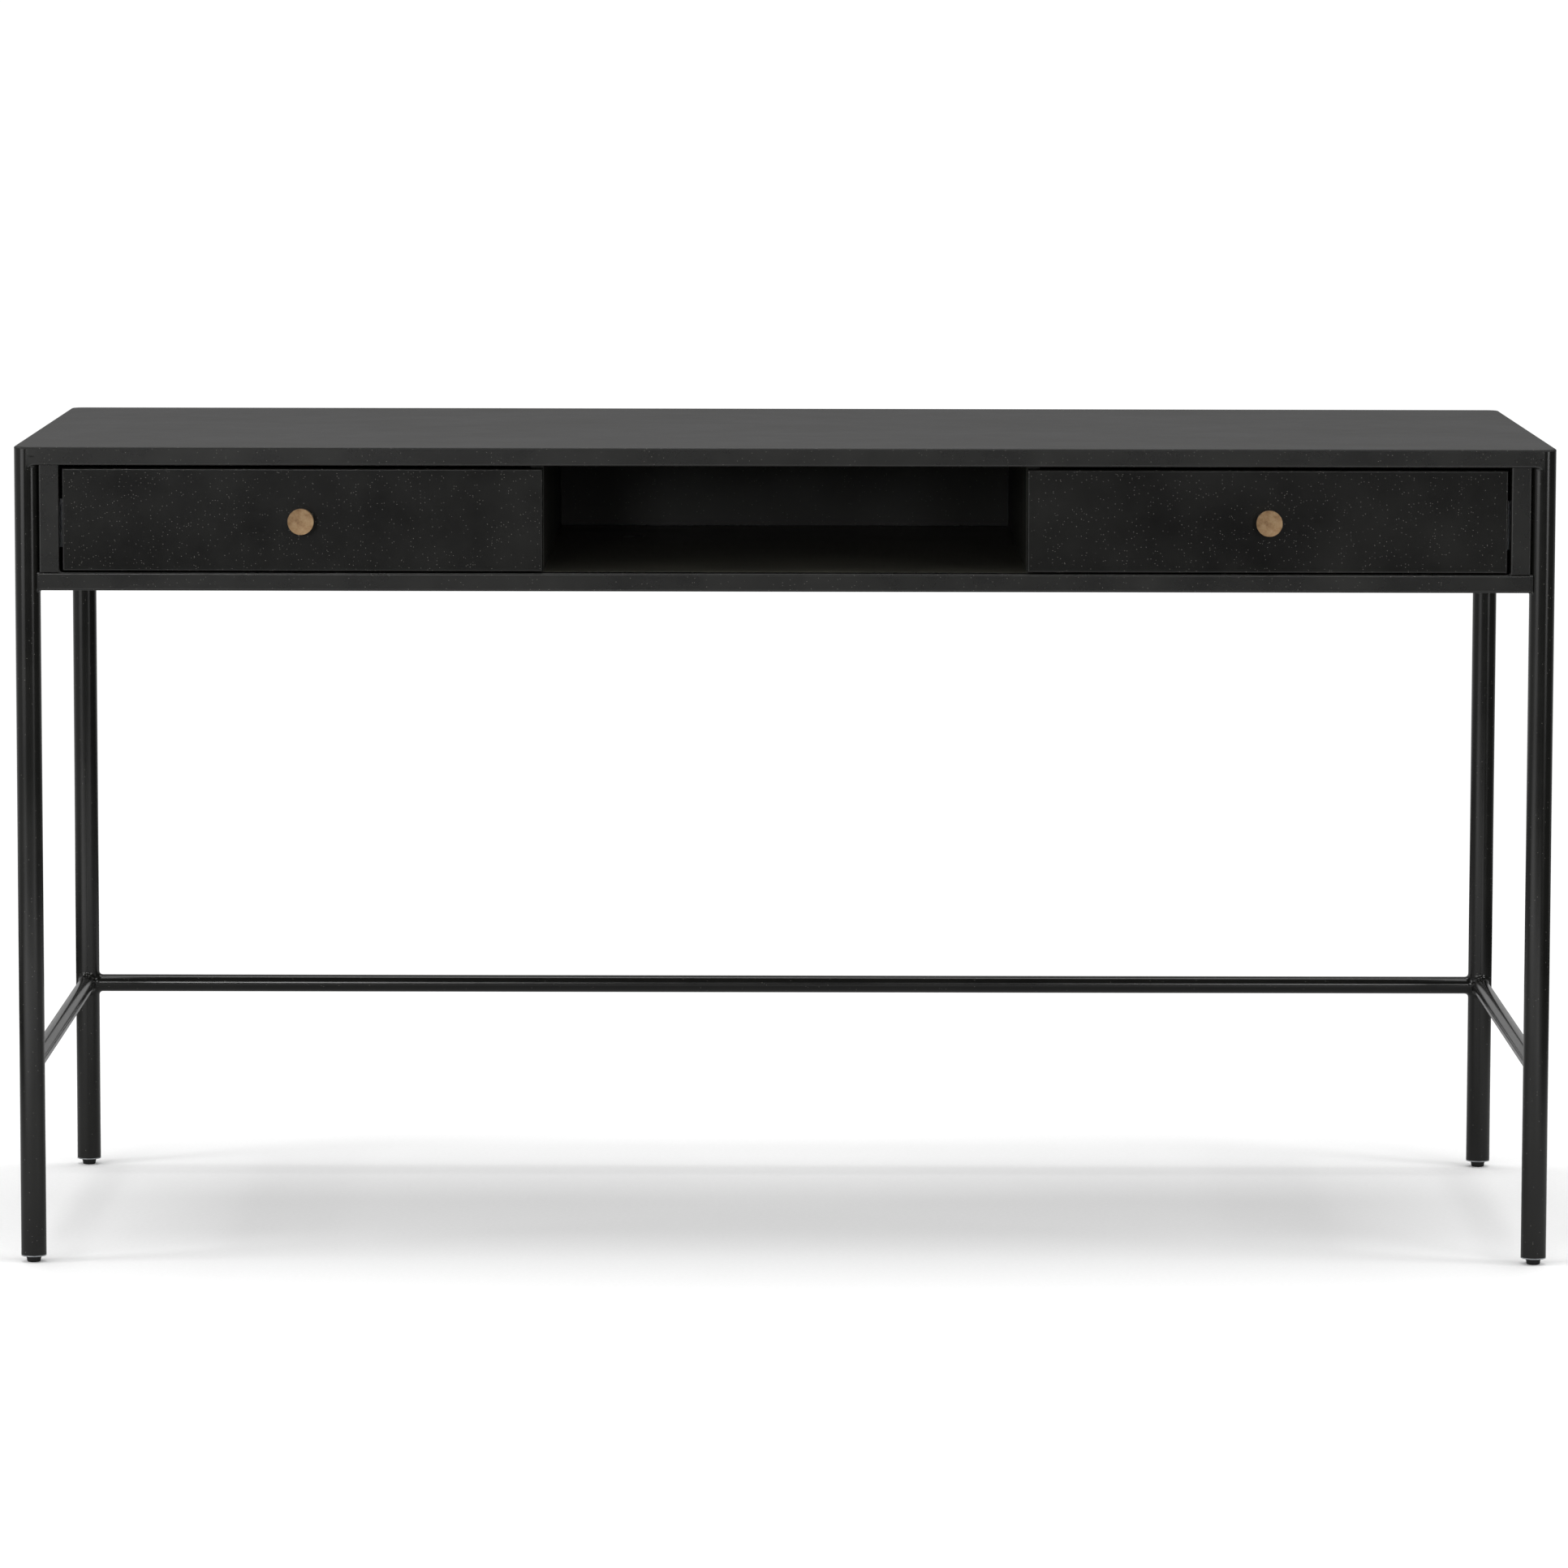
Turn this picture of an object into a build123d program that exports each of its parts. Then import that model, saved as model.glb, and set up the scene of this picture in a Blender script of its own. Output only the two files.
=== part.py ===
from build123d import *
import os

# Iron writing desk with two drawers and an open centre cubby.
# Frame: millimetres, +Z up, floor at z = 0, the sitter is on the -Y side and the
# origin is below the middle of the overall box, knobs included.

# ---------------------------------------------------------------- driving sizes
WIDTH = 1422.0            # over the legs, along X
DEPTH = 559.0             # over the legs, along Y
HEIGHT = 762.0            # floor to the top face

LEG_OD = 23.5             # round leg tube
LEG_WALL = 1.5
STRETCHER_OD = 17.0       # round stretcher tube
STRETCHER_WALL = 1.5
STRETCHER_Z = 184.0       # height of the stretchers' centre line

TOP_SHEET = 2.0           # thickness of the top sheet
TOP_EDGE_RADIUS = 1.5
RIM_HEIGHT = 17.0         # top sheet and top rail together
RAIL_DEPTH = 17.0         # front to back size of every rail tube
RAIL_WALL = 1.5
RAIL_EDGE_RADIUS = 2.0    # outside corner of the rail and stile tubes
BOTTOM_RAIL_HEIGHT = 17.0
OPENING_HEIGHT = 99.0     # between the front rails
STILE_WIDTH = 18.3        # visible width of a stile beside its leg
FACE_RECESS = 2.5         # stiles, bottom front rail and drawer fronts sit behind the rim
PANEL_SHEET = 1.5         # side, back and floor sheets
PANEL_INSET = 6.0         # side and back sheets sit behind the outer faces
DIVIDER_THICKNESS = 12.0  # hollow partitions beside the cubby
DIVIDER_WALL = 1.2
STIFFENER_WIDTH = 25.0    # tubes under the top sheet

FRONT_THICKNESS = 18.0    # drawer front pan
FRONT_SHEET = 1.5
FRONT_EDGE_RADIUS = 1.5
FRONT_SIDE_GAP = 3.0      # drawer front to stile
FRONT_TOP_GAP = 2.7
FRONT_BOTTOM_GAP = 1.3
FRONT_CUBBY_GAP = 0.5     # drawer front stops short of the cubby wall
BUMPER_THICKNESS = 1.2
BUMPER_RADIUS = 4.0
BUMPER_GAP = 0.3          # bumper face to the closed drawer front

BOX_HEIGHT = 76.0         # drawer box walls
BOX_SHEET = 1.2
BOX_FLOOR_GAP = 6.0       # drawer box above the case floor
BOX_BACK_GAP = 21.0       # drawer box to the back sheet
HEM_HEIGHT = 8.0          # folded hem along the top of each box wall

SLIDE_THICKNESS = 12.7    # ball bearing slide, wall to drawer
SLIDE_END_GAP = 5.0       # slide ends inside the drawer box length
SLIDE_STEEL = 1.2
OUTER_HEIGHT = 45.0       # fixed member
MIDDLE_HEIGHT = 39.0
INNER_HEIGHT = 26.0       # drawer member
OUTER_FLANGE = 9.5        # reach of the fixed member's flanges
MIDDLE_START = 2.5        # middle member's web, from the wall
MIDDLE_END = 10.0
INNER_START = 7.5         # drawer member's flanges, from the wall

SCREW_RADIUS = 1.9
SCREW_CLEARANCE = 0.1     # round a screw shank in sheet
SCREW_HEAD_RADIUS = 3.6
SCREW_HEAD_HEIGHT = 1.1
SCREW_END_DISTANCE = 35.0  # first and last slide screw from the slide's ends

KNOB_RADIUS = 12.0
KNOB_PROJECTION = 25.0    # drawer face to the knob's face
KNOB_DISC = 6.0
KNOB_BEVEL = 0.9
KNOB_STEM_RADIUS = 4.2
KNOB_FOOT_RADIUS = 6.2
KNOB_FOOT = 1.5
KNOB_BLEND = 3.0          # stem flares out below the disc
KNOB_HOLE_DEPTH = 14.0
KNOB_SCREW_GRIP = 11.0    # screw length inside the knob
KNOB_SCREW_RADIUS = 2.0
THREAD_CLEARANCE = 0.05

FOOT_HEIGHT = 6.0         # leg end above the floor
FOOT_RADIUS = 7.15
FOOT_TAPER = 0.6
FOOT_GAP = 0.2            # pad below the leg's end, screwed right in
STUD_RADIUS = 4.0
STUD_LENGTH = 22.0
INSERT_LIP = 1.0
INSERT_HEIGHT = 12.0
INSERT_CLEARANCE = 0.05

# ---------------------------------------------------------------- derived places
LEG_R = LEG_OD / 2
HALF_WIDTH = WIDTH / 2
KNOB_OVERHANG = KNOB_PROJECTION - FACE_RECESS
Y_FRONT = (KNOB_OVERHANG - DEPTH) / 2
Y_BACK = Y_FRONT + DEPTH
LEG_X = HALF_WIDTH - LEG_R
LEG_Y_FRONT = Y_FRONT + LEG_R
LEG_Y_BACK = Y_BACK - LEG_R

Z_UNDER_TOP = HEIGHT - TOP_SHEET
Z_RIM = HEIGHT - RIM_HEIGHT
Z_FLOOR = Z_RIM - OPENING_HEIGHT
Z_BOTTOM = Z_FLOOR - BOTTOM_RAIL_HEIGHT
Z_LEG_END = FOOT_HEIGHT + INSERT_LIP

Y_FACE = Y_FRONT + FACE_RECESS
Y_FACE_BACK = Y_FACE + RAIL_DEPTH
Y_REAR_RAIL = Y_BACK - RAIL_DEPTH
Y_BACK_SHEET = Y_BACK - PANEL_INSET - PANEL_SHEET
Y_FRONT_REAR = Y_FACE + FRONT_THICKNESS
Y_DIVIDER = Y_FRONT_REAR + BUMPER_GAP + BUMPER_THICKNESS

OPENING_HALF = HALF_WIDTH - LEG_OD - STILE_WIDTH
CUBBY_HALF = OPENING_HALF / 3
RUNNER_X = OPENING_HALF
DIVIDER_X = CUBBY_HALF + DIVIDER_THICKNESS

FRONT_X0 = CUBBY_HALF + FRONT_CUBBY_GAP
FRONT_X1 = OPENING_HALF - FRONT_SIDE_GAP
FRONT_Z0 = Z_FLOOR + FRONT_BOTTOM_GAP
FRONT_Z1 = Z_RIM - FRONT_TOP_GAP
KNOB_X = (FRONT_X0 + FRONT_X1) / 2
KNOB_Z = (FRONT_Z0 + FRONT_Z1) / 2

BOX_X0 = DIVIDER_X + SLIDE_THICKNESS
BOX_X1 = RUNNER_X - SLIDE_THICKNESS
BOX_Y0 = Y_FRONT_REAR
BOX_Y1 = Y_BACK_SHEET - BOX_BACK_GAP
BOX_Z0 = Z_FLOOR + BOX_FLOOR_GAP
BOX_Z1 = BOX_Z0 + BOX_HEIGHT
SLIDE_Z = (BOX_Z0 + BOX_Z1) / 2
SLIDE_Y0 = BOX_Y0 + SLIDE_END_GAP
SLIDE_Y1 = BOX_Y1 - SLIDE_END_GAP
SCREW_YS = (SLIDE_Y0 + SCREW_END_DISTANCE, (SLIDE_Y0 + SLIDE_Y1) / 2,
            SLIDE_Y1 - SCREW_END_DISTANCE)

SIDES = {"left": -1, "right": 1}
LEGS = {
    "front_left": (-LEG_X, LEG_Y_FRONT),
    "front_right": (LEG_X, LEG_Y_FRONT),
    "rear_left": (-LEG_X, LEG_Y_BACK),
    "rear_right": (LEG_X, LEG_Y_BACK),
}
# A rail whose face is flush with the legs starts this far past a leg's centre,
# where the cope still leaves a little metal.
COPE_START = 2.0
# The other rails and the stiles stand beside a leg and bite this far into it, where they
# are welded. That leaves the groove between a square tube and a round leg open.
WELD_BITE = 0.5
BESIDE_LEG = LEG_R - WELD_BITE


# ---------------------------------------------------------------- helpers
def block(x, y, z):
    """Box between the two values given for each axis, in either order."""
    sizes = [abs(b - a) for a, b in (x, y, z)]
    centre = [(a + b) / 2 for a, b in (x, y, z)]
    return Pos(*centre) * Box(*sizes)


def rod(radius, start, axis, length):
    """Solid cylinder from a start point along X, Y or Z."""
    turn = {"X": Rot(0, 90, 0), "Y": Rot(-90, 0, 0), "Z": Rot(0, 0, 0)}[axis]
    lift = (Align.CENTER, Align.CENTER, Align.MIN)
    return Pos(*start) * turn * Cylinder(radius, length, align=lift)


def leg_space():
    """The four legs as solid bars, for coping what meets them."""
    bars = [rod(LEG_R, (x, y, 0), "Z", HEIGHT) for x, y in LEGS.values()]
    return Part() + bars


def cope(piece):
    """Cut a piece to the legs it is welded to."""
    return piece - leg_space()


def box_tube(x, y, z, along, wall, rounded=None):
    """Rectangular tube along an axis, with the picked long edges rounded."""
    outer = block(x, y, z)
    if rounded is not None:
        picked = [e for e in outer.edges().filter_by(along) if rounded(e.center())]
        outer = fillet(picked, RAIL_EDGE_RADIUS)
    spans = [tuple(sorted(span)) for span in (x, y, z)]
    keep = {Axis.X: 0, Axis.Y: 1, Axis.Z: 2}[along]
    inner = [span if i == keep else (span[0] + wall, span[1] - wall)
             for i, span in enumerate(spans)]
    return outer - block(*inner)


def mirrored(piece, sign):
    """The right-hand piece as it is, or its mirror image on the left."""
    return piece if sign > 0 else mirror(piece, about=Plane.YZ)


# ---------------------------------------------------------------- frame
def top_panel():
    sheet = block((-HALF_WIDTH, HALF_WIDTH), (Y_FRONT, Y_BACK), (Z_UNDER_TOP, HEIGHT))
    sheet = fillet(sheet.edges().filter_by(Axis.Z), LEG_R)
    return fillet(sheet.faces().sort_by(Axis.Z)[-1].edges(), TOP_EDGE_RADIUS)


def leg(name):
    x, y = LEGS[name]
    length = Z_UNDER_TOP - Z_LEG_END
    bore = rod(LEG_R - LEG_WALL, (x, y, Z_LEG_END), "Z", length)
    return rod(LEG_R, (x, y, Z_LEG_END), "Z", length) - bore


def lower_edge(point):
    return point.Z < (Z_RIM + Z_UNDER_TOP) / 2


def any_edge(point):
    return True


def rails_top():
    z = (Z_RIM, Z_UNDER_TOP)
    reach = LEG_X - COPE_START
    y_span = (LEG_Y_FRONT + COPE_START, LEG_Y_BACK - COPE_START)
    rails = {
        "rail_top_front": cope(box_tube((-reach, reach), (Y_FRONT, Y_FRONT + RAIL_DEPTH), z,
                                        Axis.X, RAIL_WALL, lower_edge)),
        "rail_top_rear": cope(box_tube((-reach, reach), (Y_REAR_RAIL, Y_BACK), z,
                                       Axis.X, RAIL_WALL, lower_edge)),
    }
    # The side rails butt against the legs, beside the ends of the front and rear rails.
    for side, sign in SIDES.items():
        x = (sign * (HALF_WIDTH - RAIL_DEPTH), sign * HALF_WIDTH)
        tube = cope(box_tube(x, y_span, z, Axis.Y, RAIL_WALL, lower_edge))
        rails[f"rail_top_{side}"] = tube - rails["rail_top_front"] - rails["rail_top_rear"]
    return rails


def rails_bottom():
    z = (Z_BOTTOM, Z_FLOOR)
    ends = (-LEG_X + BESIDE_LEG, LEG_X - BESIDE_LEG)
    rails = {
        "rail_bottom_front": cope(box_tube(ends, (Y_FACE, Y_FACE_BACK), z,
                                           Axis.X, RAIL_WALL, any_edge)),
        "rail_bottom_rear": cope(box_tube(ends, (Y_REAR_RAIL - FACE_RECESS, Y_BACK - FACE_RECESS),
                                          z, Axis.X, RAIL_WALL, any_edge)),
    }
    side_ends = (LEG_Y_FRONT + BESIDE_LEG, LEG_Y_BACK - BESIDE_LEG)
    for side, sign in SIDES.items():
        x = (sign * (HALF_WIDTH - FACE_RECESS - RAIL_DEPTH), sign * (HALF_WIDTH - FACE_RECESS))
        tube = cope(box_tube(x, side_ends, z, Axis.Y, RAIL_WALL, any_edge))
        rails[f"rail_bottom_{side}"] = tube
    return rails


def stretchers():
    def tube(start, axis, length):
        bore = rod(STRETCHER_OD / 2 - STRETCHER_WALL, start, axis, length)
        return cope(rod(STRETCHER_OD / 2, start, axis, length) - bore)

    rear_start = (-LEG_X, LEG_Y_BACK, STRETCHER_Z)
    found = {"stretcher_rear": tube(rear_start, "X", 2 * LEG_X)}
    rear_space = rod(STRETCHER_OD / 2, rear_start, "X", 2 * LEG_X)
    for side, sign in SIDES.items():
        start = (sign * LEG_X, LEG_Y_FRONT, STRETCHER_Z)
        found[f"stretcher_{side}"] = tube(start, "Y", LEG_Y_BACK - LEG_Y_FRONT) - rear_space
    return found


def stile():
    tube = box_tube((LEG_X - BESIDE_LEG, OPENING_HALF), (Y_FACE, Y_FACE_BACK), (Z_FLOOR, Z_RIM),
                    Axis.Z, RAIL_WALL, any_edge)
    return cope(tube)


def side_panel():
    x = (HALF_WIDTH - PANEL_INSET - PANEL_SHEET, HALF_WIDTH - PANEL_INSET)
    return cope(block(x, (LEG_Y_FRONT, LEG_Y_BACK), (Z_FLOOR, Z_RIM)))


def back_panel():
    y = (Y_BACK_SHEET, Y_BACK_SHEET + PANEL_SHEET)
    return cope(block((-LEG_X, LEG_X), y, (Z_FLOOR, Z_RIM)))


def floor_panel():
    inner = HALF_WIDTH - FACE_RECESS - RAIL_DEPTH
    y = (Y_FACE_BACK, Y_REAR_RAIL - FACE_RECESS)
    return cope(block((-inner, inner), y, (Z_FLOOR - PANEL_SHEET, Z_FLOOR)))


def slide_screw_holes(x_from, x_to):
    """Clearance holes along X for the screws of one slide."""
    low, high = sorted((x_from, x_to))
    holes = [rod(SCREW_RADIUS + SCREW_CLEARANCE, (low, y, SLIDE_Z), "X", high - low)
             for y in SCREW_YS]
    return Part() + holes


def divider():
    walls = box_tube((CUBBY_HALF, DIVIDER_X), (Y_DIVIDER, Y_BACK_SHEET),
                     (Z_FLOOR, Z_UNDER_TOP), Axis.Z, DIVIDER_WALL)
    rear_rail = block((CUBBY_HALF, DIVIDER_X), (Y_REAR_RAIL, Y_BACK), (Z_RIM, Z_UNDER_TOP))
    return walls - rear_rail - slide_screw_holes(DIVIDER_X - DIVIDER_WALL, DIVIDER_X)


def runner_rail():
    height = OUTER_HEIGHT / 2
    tube = box_tube((RUNNER_X, HALF_WIDTH - LEG_OD), (Y_FACE_BACK, Y_BACK_SHEET),
                    (SLIDE_Z - height, SLIDE_Z + height), Axis.Y, RAIL_WALL)
    return cope(tube) - slide_screw_holes(RUNNER_X, RUNNER_X + RAIL_WALL)


def top_stiffener():
    x = (KNOB_X - STIFFENER_WIDTH / 2, KNOB_X + STIFFENER_WIDTH / 2)
    return box_tube(x, (Y_FRONT + RAIL_DEPTH, Y_REAR_RAIL), (Z_RIM, Z_UNDER_TOP),
                    Axis.Y, RAIL_WALL)


def bumpers():
    """Two rubber dots on the front edge of each divider."""
    x = (CUBBY_HALF + DIVIDER_X) / 2
    y = Y_DIVIDER - BUMPER_THICKNESS
    third = (FRONT_Z1 - FRONT_Z0) / 3
    dots = [rod(BUMPER_RADIUS, (sign * x, y, z), "Y", BUMPER_THICKNESS)
            for sign in SIDES.values() for z in (FRONT_Z0 + third, FRONT_Z1 - third)]
    return Part() + dots


# ---------------------------------------------------------------- levelling feet
def foot_inserts():
    """Threaded plugs in the leg ends, one for each leg."""
    found = []
    for x, y in LEGS.values():
        plug = rod(LEG_R, (x, y, FOOT_HEIGHT), "Z", INSERT_LIP)
        plug += rod(LEG_R - LEG_WALL - INSERT_CLEARANCE, (x, y, Z_LEG_END), "Z", INSERT_HEIGHT)
        hole = rod(STUD_RADIUS, (x, y, FOOT_HEIGHT), "Z", INSERT_LIP + INSERT_HEIGHT)
        found.append(plug - hole)
    return Part() + found


def levelling_foot(name):
    x, y = LEGS[name]
    pad_height = FOOT_HEIGHT - FOOT_GAP
    profile = Polyline(
        (0, 0), (FOOT_RADIUS - 2 * FOOT_TAPER, 0), (FOOT_RADIUS - FOOT_TAPER / 2, FOOT_TAPER),
        (FOOT_RADIUS, pad_height), (STUD_RADIUS - THREAD_CLEARANCE, pad_height),
        (STUD_RADIUS - THREAD_CLEARANCE, pad_height + STUD_LENGTH),
        (0, pad_height + STUD_LENGTH), close=True)
    turned = revolve(Plane.XZ * make_face(profile), Axis.Z)
    return Pos(x, y, 0) * turned


# ---------------------------------------------------------------- drawer slides
def channel(wall_x, into, web, lips, height):
    """C section along Y: web and lips are distances from the wall at wall_x."""
    def at(distance):
        return wall_x + into * distance

    low, high = min(*web, *lips), max(*web, *lips)
    half = height / 2
    outer = block((at(low), at(high)), (SLIDE_Y0, SLIDE_Y1), (SLIDE_Z - half, SLIDE_Z + half))
    hollow = (web[1], high) if web[0] == low else (low, web[0])
    inside = half - SLIDE_STEEL
    return outer - block((at(hollow[0]), at(hollow[1])), (SLIDE_Y0, SLIDE_Y1),
                         (SLIDE_Z - inside, SLIDE_Z + inside))


# Each drawer runs between the runner rail, facing inwards, and the divider, facing outwards.
WALLS = ((RUNNER_X, -1), (DIVIDER_X, 1))


def slides_outer():
    members = []
    for wall_x, into in WALLS:
        member = channel(wall_x, into, (0, SLIDE_STEEL), (0, OUTER_FLANGE), OUTER_HEIGHT)
        members.append(member - slide_screw_holes(wall_x, wall_x + into * SLIDE_STEEL))
    return Part() + members


def slides_middle():
    web = (MIDDLE_START, MIDDLE_START + SLIDE_STEEL)
    return Part() + [channel(wall_x, into, web, (MIDDLE_START, MIDDLE_END), MIDDLE_HEIGHT)
                     for wall_x, into in WALLS]


def slides_inner():
    web = (SLIDE_THICKNESS - SLIDE_STEEL, SLIDE_THICKNESS)
    members = []
    for wall_x, into in WALLS:
        member = channel(wall_x, into, web, (INNER_START, SLIDE_THICKNESS), INNER_HEIGHT)
        members.append(member - slide_screw_holes(wall_x + into * web[0], wall_x + into * web[1]))
    return Part() + members


def screw(x, y, into, depth):
    """Slide screw: head against a web at x, shank going the way of into."""
    low = min(x, x + into * depth)
    shank = rod(SCREW_RADIUS, (low, y, SLIDE_Z), "X", depth)
    head_low = min(x, x - into * SCREW_HEAD_HEIGHT)
    return shank + rod(SCREW_HEAD_RADIUS, (head_low, y, SLIDE_Z), "X", SCREW_HEAD_HEIGHT)


def case_screws():
    found = []
    for wall_x, into in WALLS:
        seat = wall_x + into * SLIDE_STEEL
        depth = SLIDE_STEEL + max(RAIL_WALL, DIVIDER_WALL) + 2
        found += [screw(seat, y, -into, depth) for y in SCREW_YS]
    return Part() + found


def drawer_screws():
    found = []
    for wall_x, into in WALLS:
        seat = wall_x + into * (SLIDE_THICKNESS - SLIDE_STEEL)
        found += [screw(seat, y, into, SLIDE_STEEL + BOX_SHEET) for y in SCREW_YS]
    return Part() + found


# ---------------------------------------------------------------- drawers
def knob_screw_hole(y_from, y_to):
    radius = KNOB_SCREW_RADIUS + SCREW_CLEARANCE
    return rod(radius, (KNOB_X, y_from, KNOB_Z), "Y", y_to - y_from)


def drawer_front():
    pan = block((FRONT_X0, FRONT_X1), (Y_FACE, Y_FRONT_REAR), (FRONT_Z0, FRONT_Z1))
    pan = fillet(pan.faces().sort_by(Axis.Y)[0].edges(), FRONT_EDGE_RADIUS)
    pan -= block((FRONT_X0 + FRONT_SHEET, FRONT_X1 - FRONT_SHEET),
                 (Y_FACE + FRONT_SHEET, Y_FRONT_REAR),
                 (FRONT_Z0 + FRONT_SHEET, FRONT_Z1 - FRONT_SHEET))
    return pan - knob_screw_hole(Y_FACE, Y_FACE + FRONT_SHEET)


def inner_front():
    """Sheet that closes the back of the pan and is the box's front wall."""
    sheet = block((FRONT_X0 + FRONT_SHEET, FRONT_X1 - FRONT_SHEET),
                  (BOX_Y0 - BOX_SHEET, BOX_Y0),
                  (FRONT_Z0 + FRONT_SHEET, FRONT_Z1 - FRONT_SHEET))
    return sheet - knob_screw_hole(BOX_Y0 - BOX_SHEET, BOX_Y0)


def box_side(x, inward):
    wall = block((x, x + inward * BOX_SHEET), (BOX_Y0, BOX_Y1), (BOX_Z0, BOX_Z1))
    wall += block((x + inward * BOX_SHEET, x + inward * 2 * BOX_SHEET),
                  (BOX_Y0, BOX_Y1 - 2 * BOX_SHEET), (BOX_Z1 - HEM_HEIGHT, BOX_Z1))
    return wall - slide_screw_holes(x, x + inward * BOX_SHEET)


def box_back():
    x = (BOX_X0 + BOX_SHEET, BOX_X1 - BOX_SHEET)
    wall = block(x, (BOX_Y1 - BOX_SHEET, BOX_Y1), (BOX_Z0, BOX_Z1))
    return wall + block(x, (BOX_Y1 - 2 * BOX_SHEET, BOX_Y1 - BOX_SHEET),
                        (BOX_Z1 - HEM_HEIGHT, BOX_Z1))


def box_bottom():
    x = (BOX_X0 + BOX_SHEET, BOX_X1 - BOX_SHEET)
    return block(x, (BOX_Y0, BOX_Y1 - BOX_SHEET), (BOX_Z0, BOX_Z0 + BOX_SHEET))


def knob():
    """Turned disc knob, its foot on the drawer face and its disc towards the sitter."""
    disc_back = KNOB_PROJECTION - KNOB_DISC
    outline = Polyline(
        (0, 0), (KNOB_FOOT_RADIUS, 0), (KNOB_FOOT_RADIUS, KNOB_FOOT),
        (KNOB_STEM_RADIUS, KNOB_FOOT + KNOB_BLEND / 2), (KNOB_STEM_RADIUS, disc_back - KNOB_BLEND),
        (KNOB_STEM_RADIUS + KNOB_BLEND, disc_back), (KNOB_RADIUS - KNOB_BEVEL, disc_back),
        (KNOB_RADIUS, disc_back + KNOB_BEVEL), (KNOB_RADIUS, KNOB_PROJECTION - KNOB_BEVEL),
        (KNOB_RADIUS - KNOB_BEVEL, KNOB_PROJECTION), (0, KNOB_PROJECTION), close=True)
    turned = revolve(Plane.XZ * make_face(outline), Axis.Z)
    hole = rod(KNOB_SCREW_RADIUS, (0, 0, 0), "Z", KNOB_HOLE_DEPTH)
    return Pos(KNOB_X, Y_FACE, KNOB_Z) * Rot(90, 0, 0) * (turned - hole)


def knob_screw():
    radius = KNOB_SCREW_RADIUS - THREAD_CLEARANCE
    length = BOX_Y0 - Y_FACE + KNOB_SCREW_GRIP
    shank = rod(radius, (KNOB_X, Y_FACE - KNOB_SCREW_GRIP, KNOB_Z), "Y", length)
    return shank + rod(SCREW_HEAD_RADIUS, (KNOB_X, BOX_Y0, KNOB_Z), "Y", SCREW_HEAD_HEIGHT)


# ---------------------------------------------------------------- the whole desk
def desk():
    nodes = {"top_panel": top_panel(), "back_panel": back_panel(), "floor_panel": floor_panel(),
             "bumpers": bumpers(), "foot_inserts": foot_inserts()}
    nodes.update(rails_top())
    nodes.update(rails_bottom())
    nodes.update(stretchers())
    for name in LEGS:
        nodes[f"leg_{name}"] = leg(name)
        nodes[f"levelling_foot_{name}"] = levelling_foot(name)

    both_hands = {
        "stile": stile(), "side_panel": side_panel(), "divider": divider(),
        "runner_rail": runner_rail(), "top_stiffener": top_stiffener(),
        "slides_outer": slides_outer(), "slides_middle": slides_middle(),
        "slides_inner": slides_inner(), "slide_screws": case_screws(),
        "drawer_screws": drawer_screws(), "drawer_front": drawer_front(),
        "drawer_inner_front": inner_front(), "drawer_back": box_back(),
        "drawer_bottom": box_bottom(), "drawer_outboard_side": box_side(BOX_X1, -1),
        "drawer_inboard_side": box_side(BOX_X0, 1), "knob": knob(), "knob_screw": knob_screw(),
    }
    for name, piece in both_hands.items():
        for side, sign in SIDES.items():
            nodes[f"{name}_{side}"] = mirrored(piece, sign)
    return nodes


os.makedirs("parts", exist_ok=True)
for node, shape in desk().items():
    export_step(shape, f"parts/{node}.step")
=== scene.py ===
# %% [markdown]
# # An iron writing desk, finished in Blender
# The desk is iron sheet and tube, welded, ground and powder coated black, with two drawers on ball
# bearing slides and turned brass knobs. The engineering model gives every sheet, tube and drawer its
# size and place, so this file only finishes it: the weld seams, the small turned parts, the paint and
# metals, and the studio. Everything is in metres, with +Z up and the sitter on the -Y side.

import math

import bpy
from mathutils import Matrix, Vector


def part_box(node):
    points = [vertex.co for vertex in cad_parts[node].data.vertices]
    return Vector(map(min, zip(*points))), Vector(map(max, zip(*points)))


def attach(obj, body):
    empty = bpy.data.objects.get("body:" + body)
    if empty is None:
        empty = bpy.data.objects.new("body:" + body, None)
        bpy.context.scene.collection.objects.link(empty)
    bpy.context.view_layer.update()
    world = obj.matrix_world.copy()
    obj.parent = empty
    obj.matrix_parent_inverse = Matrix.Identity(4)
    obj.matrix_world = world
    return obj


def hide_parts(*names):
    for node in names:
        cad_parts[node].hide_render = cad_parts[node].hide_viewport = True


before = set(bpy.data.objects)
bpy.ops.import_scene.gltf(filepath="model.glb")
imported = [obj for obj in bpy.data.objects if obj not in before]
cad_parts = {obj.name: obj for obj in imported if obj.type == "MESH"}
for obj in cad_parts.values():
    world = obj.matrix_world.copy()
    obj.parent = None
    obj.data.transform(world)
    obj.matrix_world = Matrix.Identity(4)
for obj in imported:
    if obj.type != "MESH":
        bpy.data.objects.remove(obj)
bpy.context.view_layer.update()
MM = 0.001

# %% [markdown]
# ## The camera
# A desk is best shown nearly square on, from a little above its top, with a long lens from seven
# metres away, which keeps the legs upright. A small vertical shift does what a view camera does: it
# frames the desk a little higher without tipping the legs further. More shift would straighten them,
# but every other view keeps it too, and would then cut the desk off.

# %% Camera
CAMERA_PLACE = Vector((-0.0039, -6.8366, 1.2276))
CAMERA_PITCH = math.radians(5.99)
CAMERA_YAW = math.radians(0.028)
CAMERA_ROLL = math.radians(0.113)
LENS_MM = 164.2
SENSOR_MM = 36
CLIP_END = 100
LENS_SHIFT = -0.06

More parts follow.
